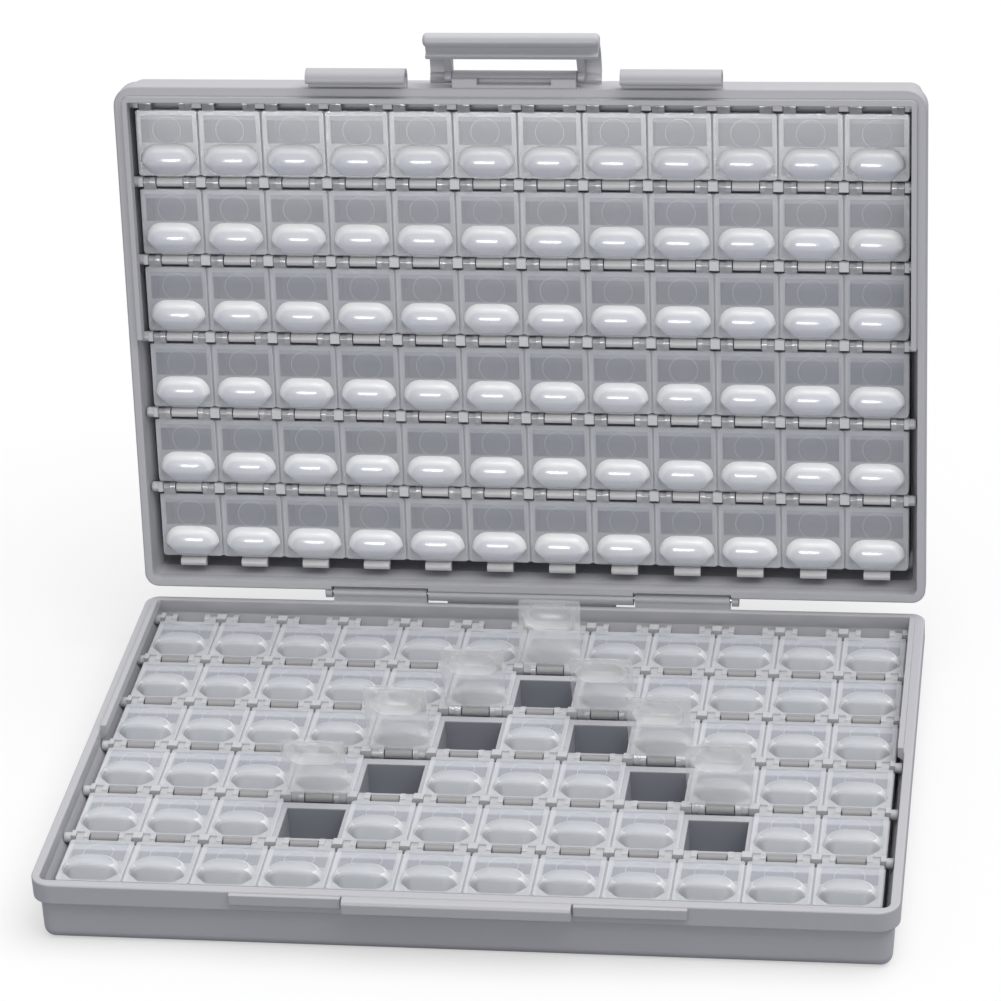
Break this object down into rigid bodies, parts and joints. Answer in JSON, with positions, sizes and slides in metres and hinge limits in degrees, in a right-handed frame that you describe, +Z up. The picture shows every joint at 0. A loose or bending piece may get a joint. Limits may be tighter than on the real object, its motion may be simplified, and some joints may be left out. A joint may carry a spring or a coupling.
{
  "type": "compartment storage box",
  "caption": "Hinged storage case, open at right angles, with a lidded grid of small compartments in both halves and a front latch.",
  "frame": {"origin": "centre of the base's flat underside, on the surface that the case rests on", "axes": "+X to the right along the hinge, +Y from the front catch to the case hinge, +Z up"},
  "size_m": [0.232, 0.1954, 0.1916],
  "materials": {
    "case_plastic": "fine matte",
    "strip_plastic": "fine matte",
    "lid_plastic": "frosted translucent",
    "pin_steel": "drawn wire"
  },
  "bodies": {
    "base": {"base_shell": "case_plastic", "base_cell_strip_1": "strip_plastic", "base_cell_strip_2": "strip_plastic", "base_cell_strip_3": "strip_plastic", "base_cell_strip_4": "strip_plastic", "base_cell_strip_5": "strip_plastic", "base_cell_strip_6": "strip_plastic"},
    "lid_half": {"lid_shell": "case_plastic", "lid_cell_strip_1": "strip_plastic", "lid_cell_strip_2": "strip_plastic", "lid_cell_strip_3": "strip_plastic", "lid_cell_strip_4": "strip_plastic", "lid_cell_strip_5": "strip_plastic", "lid_cell_strip_6": "strip_plastic", "hinge_pin_left": "pin_steel", "hinge_pin_right": "pin_steel"},
    "latch": {"latch_lever": "case_plastic"},
    "base_lids_row_1": {"base_cell_lids_row_1": "lid_plastic"},
    "base_lids_row_2": {"base_cell_lids_row_2": "lid_plastic"},
    "base_lids_row_3": {"base_cell_lids_row_3": "lid_plastic"},
    "base_lids_row_4": {"base_cell_lids_row_4": "lid_plastic"},
    "base_lids_row_5": {"base_cell_lids_row_5": "lid_plastic"},
    "base_lids_row_6": {"base_cell_lids_row_6": "lid_plastic"},
    "lid_lids_row_1": {"lid_cell_lids_row_1": "lid_plastic"},
    "lid_lids_row_2": {"lid_cell_lids_row_2": "lid_plastic"},
    "lid_lids_row_3": {"lid_cell_lids_row_3": "lid_plastic"},
    "lid_lids_row_4": {"lid_cell_lids_row_4": "lid_plastic"},
    "lid_lids_row_5": {"lid_cell_lids_row_5": "lid_plastic"},
    "lid_lids_row_6": {"lid_cell_lids_row_6": "lid_plastic"},
    "raised_lid_r2_c7": {"raised_cell_lid_r2_c7": "lid_plastic"},
    "raised_lid_r3_c6": {"raised_cell_lid_r3_c6": "lid_plastic"},
    "raised_lid_r3_c8": {"raised_cell_lid_r3_c8": "lid_plastic"},
    "raised_lid_r4_c5": {"raised_cell_lid_r4_c5": "lid_plastic"},
    "raised_lid_r4_c9": {"raised_cell_lid_r4_c9": "lid_plastic"},
    "raised_lid_r5_c4": {"raised_cell_lid_r5_c4": "lid_plastic"},
    "raised_lid_r5_c10": {"raised_cell_lid_r5_c10": "lid_plastic"}
  },
  "joints": [
    {"name": "case_hinge", "type": "hinge", "parent": "base", "child": "lid_half", "pos_m": [0, 0.07785, 0.0215], "axis": [-1, 0, 0], "range_deg": [-98.33, 0]},
    {"name": "latch_hinge", "type": "hinge", "parent": "lid_half", "child": "latch", "pos_m": [0, 0.10142, 0.17693], "axis": [-1, 0, 0], "range_deg": [-59, 70]},
    {"name": "base_row_1_hinge", "type": "hinge", "parent": "base", "child": "base_lids_row_1", "pos_m": [0, 0.07085, 0.0142], "axis": [-1, 0, 0], "range_deg": [0, 95]},
    {"name": "base_row_2_hinge", "type": "hinge", "parent": "base", "child": "base_lids_row_2", "pos_m": [0, 0.04735, 0.0142], "axis": [-1, 0, 0], "range_deg": [0, 95]},
    {"name": "base_row_3_hinge", "type": "hinge", "parent": "base", "child": "base_lids_row_3", "pos_m": [0, 0.02385, 0.0142], "axis": [-1, 0, 0], "range_deg": [0, 95]},
    {"name": "base_row_4_hinge", "type": "hinge", "parent": "base", "child": "base_lids_row_4", "pos_m": [0, 0.00035, 0.0142], "axis": [-1, 0, 0], "range_deg": [0, 95]},
    {"name": "base_row_5_hinge", "type": "hinge", "parent": "base", "child": "base_lids_row_5", "pos_m": [0, -0.02315, 0.0142], "axis": [-1, 0, 0], "range_deg": [0, 95]},
    {"name": "base_row_6_hinge", "type": "hinge", "parent": "base", "child": "base_lids_row_6", "pos_m": [0, -0.04665, 0.0142], "axis": [-1, 0, 0], "range_deg": [0, 95]},
    {"name": "lid_row_1_hinge", "type": "hinge", "parent": "lid_half", "child": "lid_lids_row_1", "pos_m": [0, 0.10177, 0.16828], "axis": [-1, 0, 0], "range_deg": [0, 95]},
    {"name": "lid_row_2_hinge", "type": "hinge", "parent": "lid_half", "child": "lid_lids_row_2", "pos_m": [0, 0.09836, 0.14503], "axis": [-1, 0, 0], "range_deg": [0, 95]},
    {"name": "lid_row_3_hinge", "type": "hinge", "parent": "lid_half", "child": "lid_lids_row_3", "pos_m": [0, 0.09496, 0.12178], "axis": [-1, 0, 0], "range_deg": [0, 95]},
    {"name": "lid_row_4_hinge", "type": "hinge", "parent": "lid_half", "child": "lid_lids_row_4", "pos_m": [0, 0.09155, 0.09853], "axis": [-1, 0, 0], "range_deg": [0, 95]},
    {"name": "lid_row_5_hinge", "type": "hinge", "parent": "lid_half", "child": "lid_lids_row_5", "pos_m": [0, 0.08815, 0.07527], "axis": [-1, 0, 0], "range_deg": [0, 95]},
    {"name": "lid_row_6_hinge", "type": "hinge", "parent": "lid_half", "child": "lid_lids_row_6", "pos_m": [0, 0.08475, 0.05202], "axis": [-1, 0, 0], "range_deg": [0, 95]},
    {"name": "raised_r2_c7_hinge", "type": "hinge", "parent": "base", "child": "raised_lid_r2_c7", "pos_m": [0.00925, 0.04735, 0.0142], "axis": [-1, 0, 0], "range_deg": [-100, 0]},
    {"name": "raised_r3_c6_hinge", "type": "hinge", "parent": "base", "child": "raised_lid_r3_c6", "pos_m": [-0.00925, 0.02385, 0.0142], "axis": [-1, 0, 0], "range_deg": [-86, 0]},
    {"name": "raised_r3_c8_hinge", "type": "hinge", "parent": "base", "child": "raised_lid_r3_c8", "pos_m": [0.02775, 0.02385, 0.0142], "axis": [-1, 0, 0], "range_deg": [-77.5, 0]},
    {"name": "raised_r4_c5_hinge", "type": "hinge", "parent": "base", "child": "raised_lid_r4_c5", "pos_m": [-0.02775, 0.00035, 0.0142], "axis": [-1, 0, 0], "range_deg": [-91, 0]},
    {"name": "raised_r4_c9_hinge", "type": "hinge", "parent": "base", "child": "raised_lid_r4_c9", "pos_m": [0.04625, 0.00035, 0.0142], "axis": [-1, 0, 0], "range_deg": [-85, 0]},
    {"name": "raised_r5_c4_hinge", "type": "hinge", "parent": "base", "child": "raised_lid_r5_c4", "pos_m": [-0.04625, -0.02315, 0.0142], "axis": [-1, 0, 0], "range_deg": [-77.5, 0]},
    {"name": "raised_r5_c10_hinge", "type": "hinge", "parent": "base", "child": "raised_lid_r5_c10", "pos_m": [0.06475, -0.02315, 0.0142], "axis": [-1, 0, 0], "range_deg": [-86.5, 0]}
  ],
  "couplings": [
    {"joint": "raised_r2_c7_hinge", "follows": "case_hinge", "ratio": 1.017},
    {"joint": "raised_r3_c6_hinge", "follows": "case_hinge", "ratio": 0.8746},
    {"joint": "raised_r3_c8_hinge", "follows": "case_hinge", "ratio": 0.78815},
    {"joint": "raised_r4_c5_hinge", "follows": "case_hinge", "ratio": 0.92544},
    {"joint": "raised_r4_c9_hinge", "follows": "case_hinge", "ratio": 0.86443},
    {"joint": "raised_r5_c4_hinge", "follows": "case_hinge", "ratio": 0.78815},
    {"joint": "raised_r5_c10_hinge", "follows": "case_hinge", "ratio": 0.87968}
  ]
}
